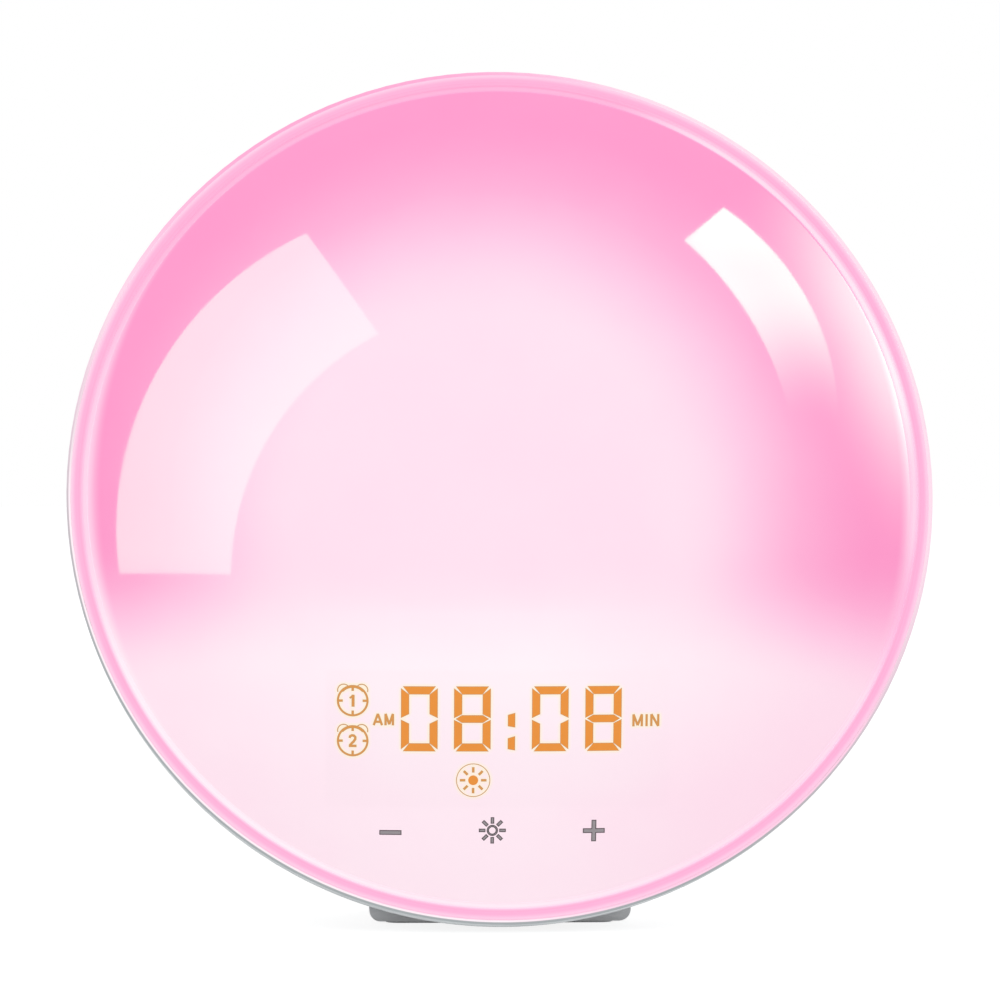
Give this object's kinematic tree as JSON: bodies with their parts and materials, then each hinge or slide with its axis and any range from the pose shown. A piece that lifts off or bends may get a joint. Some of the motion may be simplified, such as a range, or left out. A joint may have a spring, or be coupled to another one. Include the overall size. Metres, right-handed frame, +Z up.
{
  "type": "sunrise alarm clock",
  "caption": "Round table alarm clock that wakes with light: a milky dome over a leaning bowl casing on a foot, with a digital display, touch marks and push buttons.",
  "frame": {"origin": "centre of the anti-slip pad's underside, on the table", "axes": "+Z up, the display faces -Y and leans back, +X to the right as one looks at the display"},
  "size_m": [0.1728, 0.092, 0.1715],
  "materials": {
    "dome_plastic": "glossy milky plastic, lit pink from inside",
    "casing_plastic": "satin moulded plastic with a fine texture",
    "foot_plastic": "satin moulded plastic",
    "pad_rubber": "matte grey rubber",
    "button_plastic": "satin moulded plastic",
    "tray_plastic": "matte white reflector plastic",
    "light_box_plastic": "matte white plastic",
    "film": "smoked film",
    "board_white": "white solder mask",
    "board_green": "green solder mask",
    "led_white": "phosphor under clear resin",
    "led_colour": "clear resin",
    "led_orange": "clear resin",
    "steel": "zinc plated",
    "spring_metal": "gold plated",
    "black_plastic": "matte black plastic",
    "capacitor_sleeve": "shrink sleeve",
    "connector_plastic": "natural nylon",
    "magnet": "ferrite between plated plates",
    "cone_paper": "coated paper pulp",
    "soft_rubber": "soft rubber"
  },
  "bodies": {
    "clock": {"front_diffuser": "dome_plastic", "rear_casing": "casing_plastic", "base_foot": "foot_plastic", "anti_slip_pad": "pad_rubber", "foot_screws": "steel", "casing_screws": "steel", "reflector_tray": "tray_plastic", "light_board": "board_white", "white_leds": "led_white", "colour_leds": "led_colour", "light_board_screws": "steel", "display_film": "film", "display_light_box": "light_box_plastic", "display_leds": "led_orange", "display_board": "board_green", "display_screws": "steel", "touch_board": "board_green", "touch_springs": "spring_metal", "main_board": "board_green", "main_board_chips": "black_plastic", "capacitors": "capacitor_sleeve", "board_connectors": "connector_plastic", "main_board_screws": "steel", "dc_jack": "black_plastic", "dc_jack_pin": "steel", "reset_switch": "black_plastic", "antenna_grommet": "soft_rubber", "speaker_frame": "steel", "speaker_magnet": "magnet", "speaker_surround": "soft_rubber", "speaker_screws": "steel", "coin_cell": "steel", "cell_contacts": "spring_metal", "snooze_switch": "black_plastic", "snooze_switch_board": "board_green", "left_switches": "black_plastic", "left_switch_board": "board_green", "right_switches": "black_plastic", "right_switch_board": "board_green", "switch_board_screws": "steel"},
    "left_button_1": {"left_button_1": "button_plastic", "left_plunger_1": "black_plastic"},
    "left_button_2": {"left_button_2": "button_plastic", "left_plunger_2": "black_plastic"},
    "left_button_3": {"left_button_3": "button_plastic", "left_plunger_3": "black_plastic"},
    "right_button_1": {"right_button_1": "button_plastic", "right_plunger_1": "black_plastic"},
    "right_button_2": {"right_button_2": "button_plastic", "right_plunger_2": "black_plastic"},
    "right_button_3": {"right_button_3": "button_plastic", "right_plunger_3": "black_plastic"},
    "snooze": {"snooze_button": "button_plastic", "snooze_plunger": "black_plastic"},
    "reset": {"reset_plunger": "black_plastic"},
    "cone": {"speaker_cone": "cone_paper"},
    "door": {"battery_door": "casing_plastic"}
  },
  "joints": [
    {"name": "left_button_1_press", "type": "slide", "parent": "clock", "child": "left_button_1", "axis": [1, 0, 0], "range_m": [0, 0.0006], "stiffness_N_per_m": 1500, "springref_m": -0.0003},
    {"name": "left_button_2_press", "type": "slide", "parent": "clock", "child": "left_button_2", "axis": [1, 0, 0], "range_m": [0, 0.0006], "stiffness_N_per_m": 1500, "springref_m": -0.0003},
    {"name": "left_button_3_press", "type": "slide", "parent": "clock", "child": "left_button_3", "axis": [1, 0, 0], "range_m": [0, 0.0006], "stiffness_N_per_m": 1500, "springref_m": -0.0003},
    {"name": "right_button_1_press", "type": "slide", "parent": "clock", "child": "right_button_1", "axis": [-1, 0, 0], "range_m": [0, 0.0006], "stiffness_N_per_m": 1500, "springref_m": -0.0003},
    {"name": "right_button_2_press", "type": "slide", "parent": "clock", "child": "right_button_2", "axis": [-1, 0, 0], "range_m": [0, 0.0006], "stiffness_N_per_m": 1500, "springref_m": -0.0003},
    {"name": "right_button_3_press", "type": "slide", "parent": "clock", "child": "right_button_3", "axis": [-1, 0, 0], "range_m": [0, 0.0006], "stiffness_N_per_m": 1500, "springref_m": -0.0003},
    {"name": "snooze_press", "type": "slide", "parent": "clock", "child": "snooze", "axis": [0, -0.1908, -0.9816], "range_m": [0, 0.0006], "stiffness_N_per_m": 1500, "springref_m": -0.0003},
    {"name": "reset_press", "type": "slide", "parent": "clock", "child": "reset", "axis": [0, -0.9816, 0.1908], "range_m": [0, 0.0003], "stiffness_N_per_m": 3000, "springref_m": -0.0002},
    {"name": "cone_stroke", "type": "slide", "parent": "clock", "child": "cone", "axis": [0, -0.9816, 0.1908], "range_m": [-0.0004, 0.0004], "stiffness_N_per_m": 1500},
    {"name": "door_turn", "type": "hinge", "parent": "clock", "child": "door", "pos_m": [-0.026, 0.02705, 0.05342], "axis": [0, 0.9816, -0.1908], "range_deg": [0, 60]}
  ]
}
